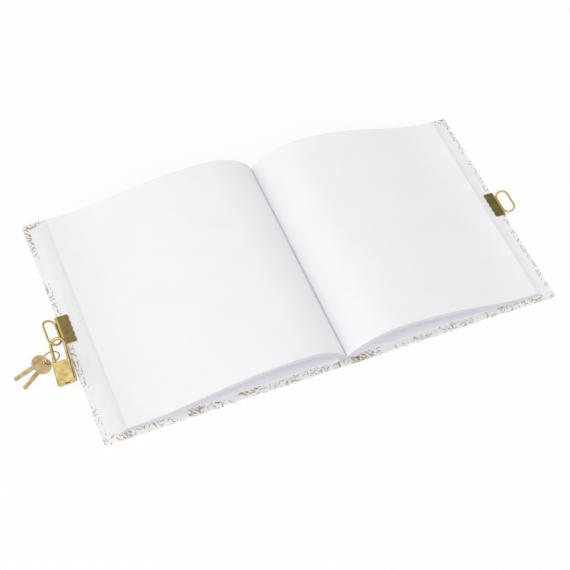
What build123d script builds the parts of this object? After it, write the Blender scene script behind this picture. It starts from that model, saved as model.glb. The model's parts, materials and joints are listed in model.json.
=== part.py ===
from build123d import *
import os
from math import atan, cos, pi, radians, sin

# Square case-bound diary lying open on a table, with a padlock hooked on the loop of its front cover.
# Millimetres. The origin is the middle of the spine's underside, +X points to the back cover, on the right,
# +Y points to the head of the book and +Z points up. The back half is drawn and the front half mirrors it.

# Case
board_width = 156.5
board_height = 168.0
board_thickness = 2.2
spine_board_thickness = 1.6
joint_width = 5.0
cover_paper = 0.25
turn_in = 14.0
pastedown_margin = 4.4
pastedown_side_margin = 3.0
endpaper = 0.17
paper_gap = 0.05

# Page block
leaf_height = 162.0
leaf_thickness = 0.17
leaves_per_section = 8
sections_per_half = 3
section_gap = 0.03
leaf_gap = 0.08
gutter_gap = 0.06
spine_ease = 0.3
lining_thickness = 0.4

# Arch of the open pages
root_height = 5.2
crest_height = 27.5
root_bend = 2.2
rise_angle = 55.0
page_inset = 15.3
page_flat = 4.0
slope_share = 0.31
crest_share = 0.68

# Clips and loops on the fore-edges
clip_length = 20.3
clip_middle = -1.0
clip_sheet = 0.5
clip_gap = 0.05
clip_outer_leaf = 6.0
clip_inner_leaf = 6.3
clip_bulge = 1.3
fold_flat = 0.2
scallops = 5
scallop_depth = 0.6
loop_length = 19.6
loop_width = 10.0
loop_wire = 1.4
loop_lean = 22.0
loop_height = 2.0
loop_seat = 0.15

# Padlock
lock_wall = 0.5
lock_floor = 1.3
lock_corner = 1.6
lock_rim = 0.5
lock_roll = -16.0
lock_pitch = 0.9
lock_yaw = 5.3
shackle_wire = 2.2
shackle_half_span = 4.5
shackle_reach = 12.4
shackle_travel = 4.0
hook_gap = 2.35
hook_side = 0.8
bore_gap = 0.1
toe_depth = 4.5
neck_depth = 0.75
neck_start = 6.5
heel_foot = 1.0
pin_diameter = 0.9
pin_gap = 0.05
spring_space = 2.0
spring_bore = 1.0
latch_drop = 2.6
latch_height = 1.6
latch_width = 2.2
latch_travel = 0.9
latch_play = 0.15
latch_gap = 0.1
latch_tail = 1.9
latch_spring_length = 0.8
latch_spring_diameter = 1.2
plug_diameter = 4.1
plug_nose = 3.3
plug_gap = 0.05
plug_wall = 0.4
cam_radius = 1.0
cam_pin = 0.9
cam_reach = 1.0
cam_play = 0.25
keyway_width = 1.0
keyway_height = 2.9
keyway_depth = 9.0
plate_thickness = 0.6
plate_rim = 0.5

# Keys and their ring
key_gap = 0.05
bow_diameter = 10.4
bow_hole = 3.4
bow_hole_offset = 2.7
bow_border = 0.4
bow_relief = 0.15
key_reach = 18.7
bit_notches = 3
bit_notch = 0.8
ring_diameter = 10.4
ring_wire = 0.8
ring_gap = 0.3
ring_stand_off = 6.1
ring_heading = 200.0
ring_tilt = 25.0
key_roll = 12.0
key_1_place = 15.0
key_2_place = -15.0
key_1_heading = 214.0
key_2_heading = 197.0
key_1_dip = 7.0
key_2_dip = 3.8

# Derived heights and places of the case
half_block = sections_per_half * (leaves_per_section * leaf_thickness + section_gap) + leaf_thickness
spine_half = gutter_gap + half_block + spine_ease / 2
board_start = spine_half + joint_width
board_edge = board_start + board_width
board_top = cover_paper + board_thickness
turn_in_top = board_top + cover_paper
case_inside = turn_in_top + endpaper
spine_board_top = cover_paper + spine_board_thickness
half_height = board_height / 2
half_leaf = leaf_height / 2

# Derived line of the top leaf, from its root to its fore-edge
root_radius = half_block + root_bend
rise = radians(rise_angle)
rise_radius = (crest_height - root_height - root_radius * cos(rise)) / (1 - cos(rise))
crest_place = gutter_gap + root_radius * (1 - sin(rise)) + rise_radius * sin(rise)
flat_top = case_inside + paper_gap + half_block
run = board_edge - page_inset - page_flat - crest_place
drop = crest_height - flat_top
slope_length = slope_share * run
both_radii = (run**2 + drop**2 - slope_length**2) / (2 * drop)
fall_radius = crest_share * both_radii
settle_radius = both_radii - fall_radius
fall_angle = 2 * atan((run - slope_length) / (2 * both_radii - drop)) * 180 / pi


def block(x, y, z):
    """A box between two values on each axis."""
    size = [b - a for a, b in (x, y, z)]
    middle = [(a + b) / 2 for a, b in (x, y, z)]
    return Pos(*middle) * Box(*size)


def leaf_path(depth):
    """The line of a leaf at a depth under the top leaf, drawn in the plane of X and Z."""
    root = JernArc((gutter_gap + depth, root_height), (0, 1), root_radius - depth, rise_angle - 90)
    up = JernArc(root @ 1, root % 1, rise_radius - depth, -rise_angle)
    down = JernArc(up @ 1, up % 1, fall_radius - depth, -fall_angle)
    slope = Line(down @ 1, down @ 1 + (down % 1) * slope_length)
    settle = JernArc(slope @ 1, slope % 1, settle_radius + depth, fall_angle)
    flat = Line(settle @ 1, settle @ 1 + (settle % 1) * (page_flat + depth * pi / 2))
    return [root, up, down, slope, settle, flat]


def arched(top, bottom, height):
    """A slab of leaves between two depths."""
    over = leaf_path(top)
    under = leaf_path(bottom)
    ends = [Line(over[-1] @ 1, under[-1] @ 1), Line(under[0] @ 0, over[0] @ 0)]
    outline = Plane.XZ * make_face(over + ends + under)
    return extrude(outline, height / 2, both=True)


def front(shape):
    """The same piece on the front half of the book."""
    return mirror(shape, about=Plane.YZ)


# Page block, counted down from the open spread
section_thickness = leaves_per_section * leaf_thickness
section_tops = [i * (section_thickness + section_gap) for i in range(sections_per_half)]
back_sections = [arched(top, top + section_thickness, leaf_height) for top in section_tops]
front_sections = [front(section) for section in back_sections]
top_leaf = arched(0, leaf_thickness, leaf_height)
back_sections[0] = arched(leaf_thickness + leaf_gap, section_thickness, leaf_height)
back_flyleaf = arched(half_block - leaf_thickness, half_block, leaf_height)
block_half_width = gutter_gap + half_block
lining_top = root_height - section_gap
spine_lining = block(
    (-block_half_width, block_half_width),
    (-half_leaf, half_leaf),
    (lining_top - lining_thickness, lining_top),
)

# Clip folded round the fore-edge, with a scalloped leaf on the inside and a leaf set into the outside
paper_edge = board_edge + cover_paper
wall_inside = paper_edge + clip_bulge
wall_outside = wall_inside + clip_sheet
leaf_under = case_inside + clip_gap
clip_top = leaf_under + clip_sheet
fold_radius = (clip_top - fold_flat) / 2
outer_start = board_edge - clip_outer_leaf
inner_start = board_edge - clip_inner_leaf


def fold_line(wall, bottom, top, radius):
    """One face of the folded strip, drawn in the plane of X and Z."""
    corners = [(outer_start, bottom), (wall, bottom), (wall, top), (inner_start, top)]
    return FilletPolyline(*corners, radius=radius)


fold_outside = fold_line(wall_outside, 0, clip_top, fold_radius)
fold_inside = fold_line(wall_inside, clip_sheet, leaf_under, fold_radius - clip_sheet)
fold_ends = [Line(fold_outside @ end, fold_inside @ end) for end in (0, 1)]
clip_profile = Plane.XZ * make_face(fold_outside.edges() + fold_inside.edges() + fold_ends)
back_clip = Pos(0, clip_middle, 0) * extrude(clip_profile, clip_length / 2, both=True)
scallop = clip_length / scallops
for number in range(scallops):
    place = clip_middle + (number - scallops / 2) * scallop
    chord = Line((inner_start, place, leaf_under), (inner_start, place + scallop, leaf_under))
    crest = (inner_start - scallop_depth, place + scallop / 2, leaf_under)
    wave = make_face([chord, ThreePointArc(chord @ 0, crest, chord @ 1)])
    back_clip += extrude(wave, clip_sheet, dir=(0, 0, 1))
clip_seat = block(
    (outer_start - clip_gap, wall_outside),
    (clip_middle - clip_length / 2 - clip_gap, clip_middle + clip_length / 2 + clip_gap),
    (0, clip_sheet + clip_gap),
)

# Oval loop brazed to the fold of the clip, leaning up from the cover
lean = radians(loop_lean)
loop_out = Vector(cos(lean), 0, sin(lean))
loop_side = loop_width - loop_wire
loop_span = loop_length - loop_wire
loop_limb = Vector(wall_outside + loop_wire / 2 - loop_seat, clip_middle, loop_height)
loop_middle = loop_limb + loop_out * (loop_side / 2)
loop_plane = Plane(loop_middle, x_dir=loop_out, z_dir=loop_out.cross(Vector(0, 1, 0)))
loop_path = (loop_plane * SlotOverall(loop_span, loop_side, rotation=90)).wire()
loop_section = Plane(loop_path @ 0, z_dir=loop_path % 0) * Circle(loop_wire / 2)
back_loop = sweep(loop_section, path=loop_path) - back_clip

# Boards and the papers that cover them
whole_board = block((board_start, board_edge), (-half_height, half_height), (cover_paper, board_top))
back_board = whole_board - clip_seat
outer_half = half_height + cover_paper
back_cover_paper = block((board_start, paper_edge), (-outer_half, outer_half), (0, turn_in_top)) - whole_board
inner_half = half_height - turn_in
inner_edge = board_edge - turn_in
back_cover_paper -= block((board_start, inner_edge), (-inner_half, inner_half), (board_top, turn_in_top))
back_cover_paper -= clip_seat
sheet_edge = board_edge - pastedown_side_margin
sheet_half = half_height - pastedown_margin
back_pastedown = block((board_start, sheet_edge), (-sheet_half, sheet_half), (turn_in_top, case_inside))
pan_edge = inner_edge - paper_gap
pan_half = inner_half - paper_gap
back_pastedown += block((board_start, pan_edge), (-pan_half, pan_half), (board_top, case_inside))
back_pastedown -= block(
    (board_start, pan_edge - endpaper),
    (endpaper - pan_half, pan_half - endpaper),
    (board_top + endpaper, case_inside),
)

# Spine and the paper joints beside it
spine_board = block((-spine_half, spine_half), (-half_height, half_height), (cover_paper, spine_board_top))
spine_paper = block((-spine_half, spine_half), (-outer_half, outer_half), (0, spine_board_top + cover_paper))
spine_paper -= spine_board
spine_paper -= block(
    (-spine_half, spine_half),
    (-inner_half, inner_half),
    (spine_board_top, spine_board_top + cover_paper),
)
back_joint = block((spine_half, board_start), (-outer_half, outer_half), (0, cover_paper))
hinge_foot = Vector(board_start - paper_gap, board_top)
hinge_head = Vector(block_half_width + paper_gap + endpaper, lining_top - lining_thickness)
hinge_lift = Vector(0, endpaper)
hinge_outline = Polyline(
    hinge_foot, hinge_head, hinge_head + hinge_lift, hinge_foot + hinge_lift, close=True
)
back_inner_hinge = extrude(Plane.XZ * make_face(hinge_outline), half_leaf, both=True)

# Frame of the padlock: X across the shackle, Z from the body to the crown, origin at the crown's middle
front_loop = front(back_loop)
out = Vector(-loop_out.X, loop_out.Y, loop_out.Z)
limb = Vector(-loop_limb.X, loop_limb.Y, loop_limb.Z)
hook_point = limb + out * (loop_side / 2) - Vector(0, loop_span / 2, 0)
pitch, yaw, roll = radians(lock_pitch), radians(lock_yaw), radians(lock_roll)
lock_up = Vector(sin(yaw) * cos(pitch), cos(yaw) * cos(pitch), -sin(pitch))
hook_depth = shackle_half_span - shackle_wire / 2 - loop_wire / 2 - hook_gap
hook_plane = Plane(hook_point, x_dir=(cos(roll), 0, -sin(roll)), z_dir=lock_up)
crown_middle = hook_point + hook_plane.x_dir * hook_side - lock_up * hook_depth
lock_plane = Plane(crown_middle, x_dir=hook_plane.x_dir, z_dir=lock_up)
lock_place = lock_plane.location

# Heights inside the padlock, counted from the crown's middle
body_top = -shackle_reach
latch_middle = body_top - latch_drop
channel_half = latch_height / 2 + latch_gap
pin_height = body_top - neck_start
neck_top = pin_height + pin_diameter / 2 + pin_gap
neck_bottom = pin_height - shackle_travel - pin_diameter / 2 - pin_gap
heel_end = neck_bottom - heel_foot
toe_end = body_top - toe_depth
heel_bore = heel_end - spring_space
body_bottom = heel_bore - lock_floor
plate_top = body_bottom + plate_thickness
bore_radius = shackle_wire / 2 + bore_gap
lock_width = 2 * (shackle_half_span + bore_radius + lock_wall)
lock_depth = plug_diameter + 2 * (plug_gap + plug_wall)

# Shackle with a neck on the heel and a notch for the latch on the toe
toe_inside = shackle_half_span - shackle_wire / 2
neck_face = shackle_wire / 2 - shackle_half_span - neck_depth
latch_nose = toe_inside - latch_play
heel_line = Line((-shackle_half_span, 0, heel_end), (-shackle_half_span, 0, 0))
crown = ThreePointArc(heel_line @ 1, (0, 0, shackle_half_span), (shackle_half_span, 0, 0))
toe_line = Line(crown @ 1, (shackle_half_span, 0, toe_end))
shackle_section = Plane(heel_line @ 0, z_dir=(0, 0, 1)) * Circle(shackle_wire / 2)
shackle = sweep(shackle_section, path=Wire([heel_line, crown, toe_line]))
shackle -= block((neck_face, 0), (-shackle_wire, shackle_wire), (neck_bottom, neck_top))
shackle -= block(
    (0, latch_nose + latch_travel + latch_play),
    (-shackle_wire, shackle_wire),
    (latch_middle - channel_half, latch_middle + channel_half),
)

# Solid body with bores for the shackle, the latch, the key plug and the retaining pin
pin_place = neck_face + pin_gap + pin_diameter / 2
channel_start = -latch_tail - latch_spring_length
plug_top = latch_middle - channel_half - plug_gap
lock_outline = RectangleRounded(lock_width, lock_depth, lock_corner)
lock_body = extrude(Pos(0, 0, body_bottom) * lock_outline, body_top - body_bottom)
lock_body = fillet(lock_body.edges().group_by(Axis.Z)[0] + lock_body.edges().group_by(Axis.Z)[-1], lock_rim)


def bore(x, radius, bottom, top):
    """An upright round bore in the padlock."""
    return Pos(x, 0, (bottom + top) / 2) * Cylinder(radius, top - bottom)


def latch_slot(start, end, width, half):
    """A slot of the latch's kind, along the padlock's width."""
    return block((start, end), (-width / 2, width / 2), (latch_middle - half, latch_middle + half))


lock_body -= bore(-shackle_half_span, bore_radius, heel_bore, body_top)
lock_body -= bore(shackle_half_span, bore_radius, toe_end - bore_gap, body_top)
lock_body -= bore(0, plug_diameter / 2 + plug_gap, body_bottom, plug_top + cam_reach + latch_gap)
lock_body -= latch_slot(channel_start, shackle_half_span, latch_width + 2 * latch_gap, channel_half)
lock_body -= Pos(pin_place, 0, pin_height) * Rot(90, 0, 0) * Cylinder(pin_diameter / 2 + pin_gap, lock_depth)
plate_shape = offset(lock_outline, -plate_rim)
plate_seat = offset(plate_shape, plug_gap)
lock_body -= extrude(Pos(0, 0, body_bottom) * plate_seat, plate_thickness)
base_plate = extrude(Pos(0, 0, body_bottom) * plate_shape, plate_thickness)
base_plate -= bore(0, plug_nose / 2 + plug_gap, body_bottom, plate_top)
retaining_pin = Pos(pin_place, 0, pin_height) * Rot(90, 0, 0) * Cylinder(pin_diameter / 2, lock_depth)
spring_outside = bore(-shackle_half_span, shackle_wire / 2, heel_bore, heel_end)
shackle_spring = spring_outside - bore(-shackle_half_span, spring_bore / 2, heel_bore, heel_end)

# Latch, drawn back, and the key plug that drives it with a cam pin
latch = latch_slot(-latch_tail, latch_nose, latch_width, latch_height / 2)
cam_slot = cam_pin / 2 + cam_play
latch -= block(
    (-cam_radius - cam_slot, cam_slot - cam_radius),
    (-latch_width, latch_width),
    (latch_middle - latch_height, latch_middle + latch_height / 4),
)
spring_middle = Pos(channel_start + latch_spring_length / 2, 0, latch_middle)
latch_spring = spring_middle * Rot(0, 90, 0) * Cylinder(latch_spring_diameter / 2, latch_spring_length)
key_plug = bore(0, plug_diameter / 2, plate_top, plug_top)
key_plug += bore(0, plug_nose / 2, body_bottom, plate_top)
key_plug += bore(-cam_radius, cam_pin / 2, plug_top, plug_top + cam_reach)
key_plug -= block(
    (-keyway_height / 2, keyway_height / 2),
    (-keyway_width / 2, keyway_width / 2),
    (body_bottom, body_bottom + keyway_depth),
)

# Ring threaded on the heel leg of the shackle and lying over to the side, where it carries the keys
upward = Vector(0, 0, 1)
heading, tilt = radians(ring_heading), radians(ring_tilt)
ring_radius = ring_diameter / 2
ring_out = Vector(cos(heading), sin(heading), 0)
ring_rise = upward.cross(ring_out) * cos(tilt) + upward * sin(tilt)
ring_normal = ring_out.cross(ring_rise)
leg_reach = shackle_wire / 2 / abs(ring_normal.dot(lock_up))
ring_offset = ring_radius - ring_wire / 2 - ring_gap - leg_reach
leg_point = lock_plane.from_local_coords(Vector(-shackle_half_span, 0, body_top + ring_stand_off))
ring_middle = leg_point + ring_out * ring_offset
key_ring = Plane(ring_middle, x_dir=ring_out, z_dir=ring_normal).location * Torus(ring_radius, ring_wire / 2)


def key_shape():
    """A flat key with a round bow, its tip along +X and the bow's middle at the origin."""
    thickness = keyway_width - 2 * key_gap
    width = keyway_height - 2 * key_gap
    key = Cylinder(bow_diameter / 2, thickness)
    key += block((0, key_reach), (-width / 2, width / 2), (-thickness / 2, thickness / 2))
    key = chamfer(key.faces().sort_by(Axis.X)[-1].edges().filter_by(Axis.Z), width / 3)
    for notch in range(bit_notches):
        place = key_reach - width - 2 * notch * bit_notch
        for edge in (-width / 2, width / 2):
            key -= Pos(place, edge, 0) * Rot(0, 0, 45) * Box(bit_notch, bit_notch, 2 * thickness)
    face = Cylinder(bow_diameter / 2 - 2 * bow_border, bow_relief)
    eye = Pos(-bow_hole_offset, 0, 0) * Cylinder(bow_hole / 2 + bow_border, bow_relief)
    neck = block((bow_diameter / 4, bow_diameter), (-width, width), (-thickness, thickness))
    for side in (-1, 1):
        key -= Pos(0, 0, side * (thickness - bow_relief) / 2) * (face - eye - neck)
    return key - Pos(-bow_hole_offset, 0, 0) * Cylinder(bow_hole / 2, 2 * thickness)


def place_key(place, heading, dip):
    """A key threaded on the ring at an angle round it, its blade pointing along a heading and dipping."""
    around = radians(place)
    hole = ring_middle + (ring_out * cos(around) + ring_rise * sin(around)) * ring_radius
    level = Vector(cos(radians(heading)), sin(radians(heading)), 0)
    along = level * cos(radians(dip)) - upward * sin(radians(dip))
    across = upward.cross(level)
    face = along.cross(across) * cos(radians(key_roll)) + across * sin(radians(key_roll))
    return Plane(hole + along * bow_hole_offset, x_dir=along, z_dir=face)


key_1_plane = place_key(key_1_place, key_1_heading, key_1_dip)
key_2_plane = place_key(key_2_place, key_2_heading, key_2_dip)

parts = {
    "front_board": front(back_board),
    "back_board": back_board,
    "spine_board": spine_board,
    "front_cover_paper": front(back_cover_paper),
    "back_cover_paper": back_cover_paper,
    "spine_paper": spine_paper,
    "front_joint": front(back_joint),
    "back_joint": back_joint,
    "front_inner_hinge": front(back_inner_hinge),
    "back_inner_hinge": back_inner_hinge,
    "front_pastedown": front(back_pastedown),
    "back_pastedown": back_pastedown,
    "front_flyleaf": front(back_flyleaf),
    "back_flyleaf": back_flyleaf,
    "spine_lining": spine_lining,
    "top_leaf": top_leaf,
    "front_clip": front(back_clip),
    "back_clip": back_clip,
    "front_loop": front_loop,
    "back_loop": back_loop,
    "shackle": lock_place * shackle,
    "lock_body": lock_place * lock_body,
    "base_plate": lock_place * base_plate,
    "retaining_pin": lock_place * retaining_pin,
    "shackle_spring": lock_place * shackle_spring,
    "latch": lock_place * latch,
    "latch_spring": lock_place * latch_spring,
    "key_plug": lock_place * key_plug,
    "key_ring": key_ring,
    "key_1": key_1_plane.location * key_shape(),
    "key_2": key_2_plane.location * key_shape(),
}
for number, (left, right) in enumerate(zip(front_sections, back_sections), 1):
    parts[f"front_section_{number}"] = left
    parts[f"back_section_{number}"] = right

os.makedirs("parts", exist_ok=True)
for name, shape in parts.items():
    export_step(shape, f"parts/{name}.step")
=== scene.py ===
import json
import random
from math import atan, cos, pi, radians, sin

import bpy
from mathutils import Matrix, Vector


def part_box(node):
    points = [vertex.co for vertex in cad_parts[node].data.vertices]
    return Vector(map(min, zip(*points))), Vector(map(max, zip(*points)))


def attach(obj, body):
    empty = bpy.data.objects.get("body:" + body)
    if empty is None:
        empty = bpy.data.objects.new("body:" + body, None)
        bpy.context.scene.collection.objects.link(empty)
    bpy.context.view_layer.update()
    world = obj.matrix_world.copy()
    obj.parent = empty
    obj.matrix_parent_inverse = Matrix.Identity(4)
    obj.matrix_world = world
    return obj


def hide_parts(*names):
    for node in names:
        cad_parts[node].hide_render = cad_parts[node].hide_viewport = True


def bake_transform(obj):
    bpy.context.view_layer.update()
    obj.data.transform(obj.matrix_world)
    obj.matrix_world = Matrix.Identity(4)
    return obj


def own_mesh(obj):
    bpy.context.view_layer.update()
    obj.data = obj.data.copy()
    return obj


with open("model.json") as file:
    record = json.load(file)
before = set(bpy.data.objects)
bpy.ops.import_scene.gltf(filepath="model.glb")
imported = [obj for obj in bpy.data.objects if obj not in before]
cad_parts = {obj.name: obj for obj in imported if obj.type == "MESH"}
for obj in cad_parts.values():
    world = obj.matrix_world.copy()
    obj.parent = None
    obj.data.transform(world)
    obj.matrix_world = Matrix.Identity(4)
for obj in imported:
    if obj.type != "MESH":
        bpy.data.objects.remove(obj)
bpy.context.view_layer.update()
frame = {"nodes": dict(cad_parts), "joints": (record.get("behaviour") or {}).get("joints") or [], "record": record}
nodes = frame["nodes"]
MM = 0.001

# Camera at the photograph's viewing angle
camera_place = Vector((-263.895, -331.342, 616.477)) * MM
camera_right = Vector((0.90163, -0.40241, 0.15855))
camera_down = Vector((-0.26818, -0.80774, -0.52501))
camera_lens = 68.27
camera_sensor = 36.0

# Leaves of the page block, which rise from the spine, cross a crest and slope down to the fore-edge
sections = 3
leaves_per_section = 8
thickness_share = 0.8
leaf_rows = 10
leaf_steps = (8, 18, 12, 6, 10, 3)
root_bend = 2.2 * MM
rise_angle = radians(55)
page_flat = 4.0 * MM
slope_share = 0.31
crest_share = 0.68
fan_lift = 1.0 * MM
fan_start = 0.55
fan_fade = 3
trim_scatter = 0.25 * MM
sharp_angle = radians(40)

# Paper joints and inner hinges
groove_depth = 0.45 * MM
hinge_sag = 0.5 * MM
hinge_tilt = -pi / 6
joint_steps = 12
sheet_thickness = 0.15 * MM

# Paper and cloth colours, with painted light on paper near the spine and painted shade on the cut page edges, and
# how far from the spine the painted light reaches
page_white = (0.87, 0.87, 0.885)
page_shade = (0.85, 0.85, 0.868)
# Darker, bluer colour of the cut page edges: painted shade on the stack's edges
page_edge_shade = (0.62, 0.61, 0.67)
# Lighter, bluer page paper in the gutter: painted light in the shaded fold
page_gutter_light = (0.90, 0.893, 0.945)
gutter_light_reach = 1.2 * MM
endpaper_light = (0.87, 0.863, 0.876)
endpaper_dark = (0.845, 0.838, 0.852)
# Lighter, bluer endpaper under the pages: painted light in the shaded hollow under the arch
endpaper_hollow_light = (0.915, 0.902, 0.96)
hollow_light_reach = 152 * MM
board_light = (0.42, 0.39, 0.35)
board_dark = (0.33, 0.31, 0.28)
cloth_light = (0.82, 0.81, 0.79)
cloth_dark = (0.55, 0.54, 0.52)

# Paper surface, with scales per metre
cloud_scale = 45.0
fibre_scale = 1400.0
fibre_depth = 0.04 * MM
fibre_strength = 0.3
fade_share = 0.9
# How squarely a face must look along Y to get the painted edge shade
edge_shade_facing = 0.7
weave_scale = 420.0
weave_depth = 0.1 * MM

# Metal surface, with scales per metre
tarnish_scale = 260.0
grain_scale = 700.0
grain_strength = 0.6
polish_range = (0.7, 1.5)

# Print on the cover
ground_light = (0.88, 0.875, 0.85)
ground_dark = (0.83, 0.825, 0.80)
green = (0.26, 0.29, 0.22)
brown = (0.09, 0.07, 0.055)
tan = (0.40, 0.21, 0.11)
pale = (0.60, 0.62, 0.36)
ground_scale = 80.0
cover_fibre_scale = 1100.0
wear_scale = 900.0
wear_level = 0.38
edge_shear = (1.0, 0.7, 0.0)
stroke_scatter = 0.75
stroke_arch = 1.5
vein_pitch = 0.25
vein_width = 0.07
hatch_scale = 190.0
hatch_level = 0.6
hatch_start = 70 * MM

# Studio, with each dark card as its direction and the cosines at its edge and at its full tone
floor_size = 6.0
floor_drop = 0.02 * MM
floor_white = (0.92, 0.92, 0.92)
floor_glow = 0.86
sky_strength = 1.165
card_tone = 0.2
cards = [((0.449, 0.399, 0.799), 0.86, 0.95), ((0.287, 0.956, 0.057), 0.72, 0.80)]
lamp_place = (-0.75, -0.55, 0.85)
lamp_target = (0, 0, 0)
lamp_size = 0.7
lamp_power = 1.3

random.seed(7)


def add(tree, kind, inputs=None, **settings):
    """A new node with its settings, whose inputs are values or sockets to link."""
    node = tree.nodes.new(kind)
    for name, value in settings.items():
        setattr(node, name, value)
    for name, value in (inputs or {}).items():
        if isinstance(value, bpy.types.NodeSocket):
            tree.links.new(value, node.inputs[name])
        else:
            node.inputs[name].default_value = value
    return node


def calc(tree, operation, a, b=0.0):
    """A math node's value."""
    return add(tree, "ShaderNodeMath", {0: a, 1: b}, operation=operation).outputs[0]


def vector_calc(tree, operation, a, b):
    """A vector math node's vector."""
    return add(tree, "ShaderNodeVectorMath", {0: a, 1: b}, operation=operation).outputs["Vector"]


def along_axis(tree, vector, axis):
    """One coordinate of a vector."""
    return add(tree, "ShaderNodeSeparateXYZ", {"Vector": vector}).outputs[axis]


def remap(tree, value, source, target):
    """A value taken from one range to another."""
    inputs = {"Value": value}
    inputs["From Min"], inputs["From Max"] = source
    inputs["To Min"], inputs["To Max"] = target
    return add(tree, "ShaderNodeMapRange", inputs).outputs["Result"]


def ramp(tree, factor, stops, interpolation="LINEAR"):
    """A colour ramp with (place, colour) stops."""
    node = add(tree, "ShaderNodeValToRGB", {"Fac": factor})
    node.color_ramp.interpolation = interpolation
    while len(node.color_ramp.elements) < len(stops):
        node.color_ramp.elements.new(1.0)
    for element, (place, colour) in zip(node.color_ramp.elements, stops):
        element.position = place
        element.color = (*colour, 1.0)
    return node.outputs["Color"]


def mix(tree, factor, a, b):
    """A mix of two colours, each given as a value or a socket."""
    node = add(tree, "ShaderNodeMix", {"Factor": factor}, data_type="RGBA")
    for name, value in (("A", a), ("B", b)):
        socket = next(socket for socket in node.inputs if socket.name == name and socket.type == "RGBA")
        if isinstance(value, tuple):
            socket.default_value = (*value, 1.0)
        else:
            tree.links.new(value, socket)
    return next(socket for socket in node.outputs if socket.type == "RGBA")


def noise(tree, place, scale, detail=3.0, stretch=(1, 1, 1)):
    """Noise at a scale per metre, stretched along the axes."""
    vector = add(tree, "ShaderNodeMapping", {"Vector": place, "Scale": stretch}).outputs["Vector"]
    inputs = {"Vector": vector, "Scale": scale, "Detail": detail}
    return add(tree, "ShaderNodeTexNoise", inputs).outputs["Fac"]


def bump(tree, shader, height, distance, strength=0.5):
    """Bump from a height to the shader's normal."""
    node = add(tree, "ShaderNodeBump", {"Height": height, "Distance": distance, "Strength": strength})
    tree.links.new(node.outputs["Normal"], shader.inputs["Normal"])


def new_material(name, roughness, metallic=0.0):
    """A material with its node tree, its shader and the object's coordinates, in metres."""
    material = bpy.data.materials.new(name)
    material.use_nodes = True
    tree = material.node_tree
    shader = tree.nodes["Principled BSDF"]
    shader.inputs["Roughness"].default_value = roughness
    shader.inputs["Metallic"].default_value = metallic
    place = tree.nodes.new("ShaderNodeTexCoord").outputs["Object"]
    return material, tree, shader, place


def paper_material(name, light, dark, painted_light=None, painted_light_reach=0.0, edge=None):
    """Uncoated paper with faint clouds and fibres, with optional painted light near the spine and painted shade on
    its cut edges.
    """
    material, tree, shader, place = new_material(name, 0.85)
    colour = ramp(tree, noise(tree, place, cloud_scale, 4.0), [(0.3, dark), (0.7, light)])
    # Lighter colour near the spine: painted light, fading out towards the reach
    if painted_light:
        reach = calc(tree, "ABSOLUTE", along_axis(tree, place, "X"))
        near_spine = remap(tree, reach, (fade_share * painted_light_reach, painted_light_reach), (1.0, 0.0))
        colour = mix(tree, near_spine, colour, painted_light)
    # Faces toward head and tail take the edge colour: painted shade on the cut edges
    if edge:
        normal = add(tree, "ShaderNodeNewGeometry").outputs["True Normal"]
        facing = calc(tree, "ABSOLUTE", along_axis(tree, normal, "Y"))
        colour = mix(tree, calc(tree, "GREATER_THAN", facing, edge_shade_facing), colour, edge)
    tree.links.new(colour, shader.inputs["Base Color"])
    shader.inputs["Specular IOR Level"].default_value = 0.25
    bump(tree, shader, noise(tree, place, fibre_scale, 5.0), fibre_depth, fibre_strength)
    return material


def metal_material(name, light, dark, roughness, stretch, scratch_depth=0.02 * MM):
    """Plated metal with drawn grain, a changing polish and darker tarnished places."""
    material, tree, shader, place = new_material(name, roughness, 1.0)
    tarnish = noise(tree, place, tarnish_scale, 4.0)
    grain = noise(tree, place, grain_scale, 4.0, stretch)
    tree.links.new(ramp(tree, tarnish, [(0.35, dark), (0.62, light)]), shader.inputs["Base Color"])
    polish = remap(tree, grain, (0.0, 1.0), [roughness * share for share in polish_range])
    tree.links.new(polish, shader.inputs["Roughness"])
    bump(tree, shader, grain, scratch_depth, grain_strength)
    return material


def cloth_material(name):
    """Open woven lining."""
    material, tree, shader, place = new_material(name, 0.9)
    threads = []
    for axis in ("X", "Y"):
        wave = add(tree, "ShaderNodeTexWave", {"Vector": place, "Scale": weave_scale}, bands_direction=axis)
        threads.append(wave.outputs["Fac"])
    weave = calc(tree, "MAXIMUM", *threads)
    tree.links.new(ramp(tree, weave, [(0.3, cloth_dark), (0.9, cloth_light)]), shader.inputs["Base Color"])
    bump(tree, shader, weave, weave_depth)
    return material


def strokes(tree, place, cell, length, width, shift, inks):
    """The mask and the colours of small printed strokes, one in each cell and bent to an arch."""
    moved = vector_calc(tree, "ADD", place, (shift, shift, 0))
    inputs = {"Vector": moved, "Scale": 1 / cell, "Randomness": stroke_scatter}
    cells = add(tree, "ShaderNodeTexVoronoi", inputs, voronoi_dimensions="2D").outputs
    local = vector_calc(tree, "SUBTRACT", moved, cells["Position"])
    chance = add(tree, "ShaderNodeSeparateColor", {"Color": cells["Color"]}).outputs
    angle = calc(tree, "MULTIPLY", chance["Red"], 2 * pi)
    turned = add(tree, "ShaderNodeVectorRotate", {"Vector": local, "Angle": angle}, rotation_type="Z_AXIS")
    axes = add(tree, "ShaderNodeSeparateXYZ", {"Vector": turned.outputs[0]}).outputs
    along = calc(tree, "DIVIDE", axes["X"], length)
    along_squared = calc(tree, "MULTIPLY", along, along)
    arch = calc(tree, "MULTIPLY", along_squared, width * stroke_arch)
    across = calc(tree, "DIVIDE", calc(tree, "SUBTRACT", axes["Y"], arch), width)
    far = calc(tree, "ADD", along_squared, calc(tree, "MULTIPLY", across, across))
    vein_wave = calc(tree, "PINGPONG", calc(tree, "ADD", across, 4.0), vein_pitch)
    veins = calc(tree, "GREATER_THAN", vein_wave, vein_width)
    mask = calc(tree, "MULTIPLY", calc(tree, "LESS_THAN", far, 1.0), veins)
    return mask, ramp(tree, chance["Green"], inks, "CONSTANT")


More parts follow.
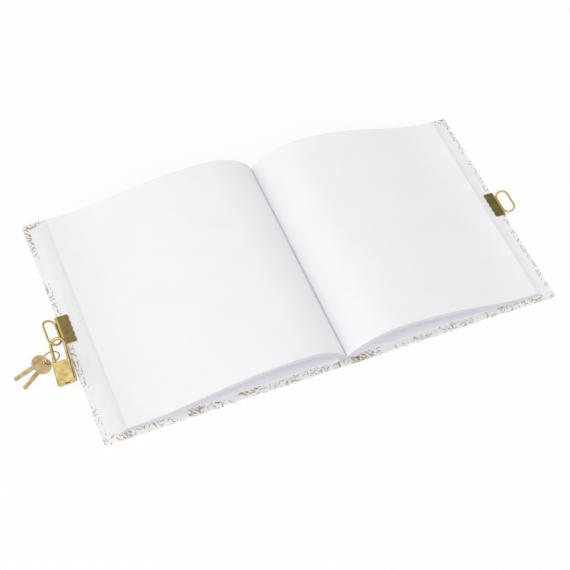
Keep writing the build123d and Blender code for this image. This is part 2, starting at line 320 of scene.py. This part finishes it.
def patches(tree, place, seed, size, level):
    """A mask of round-edged areas of the sheet."""
    moved = vector_calc(tree, "ADD", place, (seed, 2 * seed, 0))
    return calc(tree, "GREATER_THAN", noise(tree, moved, 1 / size, 1.0, (1, 1, 0)), level)


def hatching(tree, place):
    """A mask of wavy diagonal lines near head and tail."""
    inputs = {"Vector": place, "Scale": hatch_scale, "Distortion": 5.0, "Detail Scale": 3.0}
    wave = add(tree, "ShaderNodeTexWave", inputs, bands_direction="DIAGONAL").outputs["Fac"]
    reach = calc(tree, "ABSOLUTE", along_axis(tree, place, "Y"))
    hem = calc(tree, "GREATER_THAN", reach, hatch_start)
    return calc(tree, "MULTIPLY", calc(tree, "GREATER_THAN", wave, hatch_level), hem)


def cover_material(name):
    """Off-white paper printed with clusters of leaf sprigs and dashes and with hatched patches."""
    material, tree, shader, place = new_material(name, 0.7)
    # The print runs on over the edges, because it slides with the height
    inputs = {0: edge_shear, "Scale": along_axis(tree, place, "Z")}
    slide = add(tree, "ShaderNodeVectorMath", inputs, operation="SCALE").outputs["Vector"]
    place = vector_calc(tree, "ADD", place, slide)
    sprig_inks = [(0.0, green), (0.5, pale), (0.7, green)]
    dash_inks = [(0.0, brown), (0.4, green), (0.7, brown)]
    sprigs, sprig_colour = strokes(
        tree, place, cell=6.4 * MM, length=2.9 * MM, width=0.6 * MM, shift=0.0, inks=sprig_inks
    )
    dashes, dash_colour = strokes(
        tree, place, cell=3.0 * MM, length=1.9 * MM, width=0.3 * MM, shift=3.1 * MM, inks=dash_inks
    )
    layers = [
        (sprigs, patches(tree, place, seed=0.31, size=30 * MM, level=0.5), sprig_colour, 0.85),
        (dashes, patches(tree, place, seed=0.57, size=24 * MM, level=0.46), dash_colour, 0.95),
        (hatching(tree, place), patches(tree, place, seed=0.83, size=26 * MM, level=0.58), tan, 0.8),
    ]
    colour = ramp(tree, noise(tree, place, ground_scale), [(0.3, ground_dark), (0.7, ground_light)])
    unworn = calc(tree, "GREATER_THAN", noise(tree, place, wear_scale), wear_level)
    for motif, area, ink, strength in layers:
        mask = calc(tree, "MULTIPLY", motif, area)
        cover = calc(tree, "MULTIPLY", mask, calc(tree, "MULTIPLY", unworn, strength))
        colour = mix(tree, cover, colour, ink)
    tree.links.new(colour, shader.inputs["Base Color"])
    shader.inputs["Specular IOR Level"].default_value = 0.3
    bump(tree, shader, noise(tree, place, cover_fibre_scale, 4.0), fibre_depth, fibre_strength)
    return material


def floor_material():
    """White floor that keeps soft shadows, seen white by the camera and in metal."""
    material, tree, shader, _ = new_material("floor", 0.9)
    shader.inputs["Base Color"].default_value = (*floor_white, 1.0)
    path = add(tree, "ShaderNodeLightPath").outputs
    seen = calc(tree, "MAXIMUM", path["Is Camera Ray"], path["Is Glossy Ray"])
    seen = calc(tree, "MAXIMUM", seen, path["Is Transmission Ray"])
    white = add(tree, "ShaderNodeEmission", {"Strength": 1.0}).outputs["Emission"]
    share = calc(tree, "MULTIPLY", seen, floor_glow)
    mixed = add(tree, "ShaderNodeMixShader", {0: share, 1: shader.outputs["BSDF"], 2: white})
    tree.links.new(mixed.outputs["Shader"], tree.nodes["Material Output"].inputs["Surface"])
    return material


materials = {
    "binder_board": paper_material("binder_board", board_light, board_dark),
    "printed_cover": cover_material("printed_cover"),
    # The endpaper carries painted light under the pages; the page paper painted light in the gutter and painted
    # shade on its cut edges
    "endpaper": paper_material("endpaper", endpaper_light, endpaper_dark, endpaper_hollow_light, hollow_light_reach),
    "page_paper": paper_material("page_paper", page_white, page_shade, page_gutter_light, gutter_light_reach, page_edge_shade),
    "lining_cloth": cloth_material("lining_cloth"),
    "clip_metal": metal_material(
        "clip_metal", light=(0.62, 0.48, 0.20), dark=(0.50, 0.37, 0.13), roughness=0.2, stretch=(1, 0.1, 1)
    ),
    "lock_brass": metal_material(
        "lock_brass", light=(0.75, 0.57, 0.24), dark=(0.50, 0.37, 0.15), roughness=0.22, stretch=(1, 0.08, 1)
    ),
    "key_metal": metal_material(
        "key_metal", light=(0.66, 0.50, 0.265), dark=(0.44, 0.33, 0.155), roughness=0.34, stretch=(0.2, 1, 1)
    ),
    "spring_steel": metal_material(
        "spring_steel",
        light=(0.60, 0.60, 0.60),
        dark=(0.45, 0.45, 0.45),
        roughness=0.3,
        stretch=(1, 1, 0.1),
        scratch_depth=0.01 * MM,
    ),
}
for entry in frame["record"]["subparts"]:
    solid = nodes[entry["node"]]
    for material_slot in solid.material_slots:
        material_slot.material = materials[entry["material_slot"]]

# Line of a leaf, read from the frame's top leaf and flyleaf
leaf_low, leaf_high = (Vector(corner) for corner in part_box("top_leaf"))
fly_low = Vector(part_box("back_flyleaf")[0])
leaf_count = sections * leaves_per_section + 1
leaf_pitch = (fly_low.x - leaf_low.x) / (leaf_count - 1)
half_block = leaf_pitch * leaf_count
root_radius = half_block + root_bend
rise_radius = (leaf_high.z - leaf_low.z - root_radius * cos(rise_angle)) / (1 - cos(rise_angle))
crest_place = leaf_low.x + root_radius * (1 - sin(rise_angle)) + rise_radius * sin(rise_angle)
run = leaf_high.x - page_flat - crest_place
drop = leaf_high.z - fly_low.z - half_block
slope_length = slope_share * run
both_radii = (run**2 + drop**2 - slope_length**2) / (2 * drop)
fall_radius = crest_share * both_radii
settle_radius = both_radii - fall_radius
fall_angle = 2 * atan((run - slope_length) / (2 * both_radii - drop))


def leaf_line(depth):
    """Points (x, z) and headings along a leaf at a depth under the open spread, out to the fore-edge."""
    stretches = [
        ((root_radius - depth) * (pi / 2 - rise_angle), rise_angle - pi / 2),
        ((rise_radius - depth) * rise_angle, -rise_angle),
        ((fall_radius - depth) * fall_angle, -fall_angle),
        (slope_length, 0.0),
        ((settle_radius + depth) * fall_angle, fall_angle),
        (page_flat + depth * pi / 2, 0.0),
    ]
    x, z, heading = leaf_low.x + depth, leaf_low.z, pi / 2
    points = [(x, z, heading)]
    for (length, turn), steps in zip(stretches, leaf_steps):
        part = turn / steps
        chord = length / steps * (sin(part / 2) / (part / 2) if part else 1.0)
        for _ in range(steps):
            x += chord * cos(heading + part / 2)
            z += chord * sin(heading + part / 2)
            heading += part
            points.append((x, z, heading))
    return points


def fanned(line, depth):
    """The line with its fore-edge lifted a little, most on the leaves near the open spread."""
    lift = fan_lift * (1 - depth / half_block) ** fan_fade
    end = line[-1][0]
    start = fan_start * end
    lifted = []
    for x, z, heading in line:
        share = max(0.0, (x - start) / (end - start))
        lifted.append((x, z + lift * share * share, heading))
    return lifted


def sheet_mesh(name, line, edges, thickness, side=1):
    """A thin closed sheet that follows a line of (x, z, heading) points between two edges in Y."""
    vertices = []
    for x, z, heading in line:
        for row in range(leaf_rows + 1):
            y = edges[0] + (edges[1] - edges[0]) * row / leaf_rows
            vertices.append((side * x, y, z))
            vertices.append((side * (x + thickness * sin(heading)), y, z - thickness * cos(heading)))
    stride = 2 * (leaf_rows + 1)
    faces = []
    for i in range(len(line) - 1):
        for row in range(leaf_rows):
            a = i * stride + 2 * row
            faces.append((a, a + stride, a + stride + 2, a + 2))
            faces.append((a + 1, a + 3, a + stride + 3, a + stride + 1))
        for a, flip in ((i * stride, False), (i * stride + 2 * leaf_rows, True)):
            wall = (a, a + 1, a + stride + 1, a + stride)
            faces.append(wall[::-1] if flip else wall)
    for start, flip in ((0, True), ((len(line) - 1) * stride, False)):
        for row in range(leaf_rows):
            a = start + 2 * row
            wall = (a, a + 1, a + 3, a + 2)
            faces.append(wall[::-1] if flip else wall)
    if side < 0:
        faces = [face[::-1] for face in faces]
    mesh = bpy.data.meshes.new(name)
    mesh.from_pydata(vertices, [], faces)
    mesh.shade_smooth()
    mesh.set_sharp_from_angle(angle=sharp_angle)
    piece = bpy.data.objects.new(name, mesh)
    bpy.context.collection.objects.link(piece)
    return piece


def dress(piece, slot, body=None):
    """Gives a new piece its material and slot, and the body that it rides on."""
    piece.data.materials.append(materials[slot])
    if body:
        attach(piece, body)


# Single leaves, each on the body that it rides on
leaf_turn = next(joint for joint in frame["joints"] if joint["name"] == "leaf_turn")
for half, side in (("front", -1), ("back", 1)):
    for number in range(leaf_count):
        depth = number * leaf_pitch
        line = fanned(leaf_line(depth), depth)
        x, z, heading = line[-1]
        line[-1] = (x - random.uniform(0, trim_scatter), z, heading)
        tail = leaf_low.y + random.uniform(0, trim_scatter)
        head = leaf_high.y - random.uniform(0, trim_scatter)
        body = f"{half}_pages"
        node = f"{half}_section_{number // leaves_per_section + 1}"
        name = f"{half}_leaf_{number + 1:02d}"
        if number == leaf_count - 1:
            node = f"{half}_flyleaf"
            name = f"{half}_flyleaf_sheet"
        if half == "back" and number == 0:
            body = node = "top_leaf"
            name = "top_leaf_sheet"
            while line[0][1] <= leaf_turn["pos_m"][2]:
                line.pop(0)
        leaf = sheet_mesh(name, line, (tail, head), thickness_share * leaf_pitch, side)
        dress(leaf, "endpaper" if "flyleaf" in node else "page_paper", body)
        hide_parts(node)
        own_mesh(leaf)

# Spine lining in two halves, each riding on the spine
low, high = (Vector(corner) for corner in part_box("spine_lining"))
for half, side in (("front", -1), ("back", 1)):
    line = [(high.x * step / joint_steps, high.z, 0.0) for step in range(joint_steps + 1)]
    cloth = sheet_mesh(f"{half}_lining_cloth", line, (low.y, high.y), high.z - low.z, side)
    dress(cloth, "lining_cloth", "spine")
    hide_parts("spine_lining")
    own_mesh(cloth)

# Paper joints outside, pressed into a groove, and inner hinges, which sag and slope down where the covers turn
for half, side in (("front", -1), ("back", 1)):
    low, high = (Vector(corner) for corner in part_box(f"{half}_joint"))
    near, far = sorted((abs(low.x), abs(high.x)))
    line = []
    for step in range(joint_steps + 1):
        share = step / joint_steps
        line.append((near + (far - near) * share, high.z + groove_depth * sin(pi * share) ** 2, 0.0))
    joint = sheet_mesh(f"{half}_joint_paper", line, (low.y, high.y), high.z - low.z, side)
    dress(joint, "printed_cover")
    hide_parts(f"{half}_joint")
    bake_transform(joint)
    low, high = (Vector(corner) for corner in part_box(f"{half}_inner_hinge"))
    near, far = sorted((abs(low.x), abs(high.x)))
    line = []
    for step in range(joint_steps + 1):
        share = step / joint_steps
        height = high.z + (low.z + sheet_thickness - high.z) * share - hinge_sag * sin(pi * share)
        line.append((near + (far - near) * share, height, hinge_tilt))
    hinge = sheet_mesh(f"{half}_hinge_paper", line, (low.y, high.y), sheet_thickness, side)
    dress(hinge, "endpaper")
    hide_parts(f"{half}_inner_hinge")
    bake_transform(hinge)

# Floor
corners = [(-1, -1), (1, -1), (1, 1), (-1, 1)]
floor_points = [(x * floor_size, y * floor_size, -floor_drop) for x, y in corners]
floor_mesh = bpy.data.meshes.new("floor")
floor_mesh.from_pydata(floor_points, [], [(0, 1, 2, 3)])
floor = bpy.data.objects.new("floor", floor_mesh)
floor.data.materials.append(floor_material())
bpy.context.collection.objects.link(floor)

# Even white light with a dark card overhead and one behind, which give the metal its dark places
world = bpy.data.worlds.new("studio")
bpy.context.scene.world = world
world.use_nodes = True
sky = world.node_tree
background = sky.nodes["Background"]
direction = add(sky, "ShaderNodeTexCoord").outputs["Generated"]
light = sky_strength
for facing, edge, inside in cards:
    toward = add(sky, "ShaderNodeVectorMath", {0: direction, 1: facing}, operation="DOT_PRODUCT")
    share = remap(sky, toward.outputs["Value"], (edge, inside), (1.0, card_tone))
    light = calc(sky, "MULTIPLY", light, share)
sky.links.new(light, background.inputs["Strength"])
background.inputs["Color"].default_value = (1.0, 1.0, 1.0, 1.0)

# One soft lamp from the left
lamp_data = bpy.data.lights.new("key", "AREA")
lamp_data.shape = "SQUARE"
lamp_data.size = lamp_size
lamp_data.energy = lamp_power
lamp = bpy.data.objects.new("key", lamp_data)
lamp.location = lamp_place
lamp.rotation_euler = (Vector(lamp_target) - Vector(lamp_place)).to_track_quat("-Z", "Y").to_euler()
bpy.context.collection.objects.link(lamp)

# Camera
camera_data = bpy.data.cameras.new("camera")
camera_data.sensor_fit = "HORIZONTAL"
camera_data.sensor_width = camera_sensor
camera_data.lens = camera_lens
camera = bpy.data.objects.new("camera", camera_data)
camera_up = -camera_down
camera_back = camera_right.cross(camera_up)
turn = Matrix((camera_right, camera_up, camera_back)).transposed()
camera.matrix_world = Matrix.Translation(camera_place) @ turn.to_4x4()
bpy.context.collection.objects.link(camera)
bpy.context.scene.camera = camera
bpy.context.scene.view_settings.view_transform = "Standard"
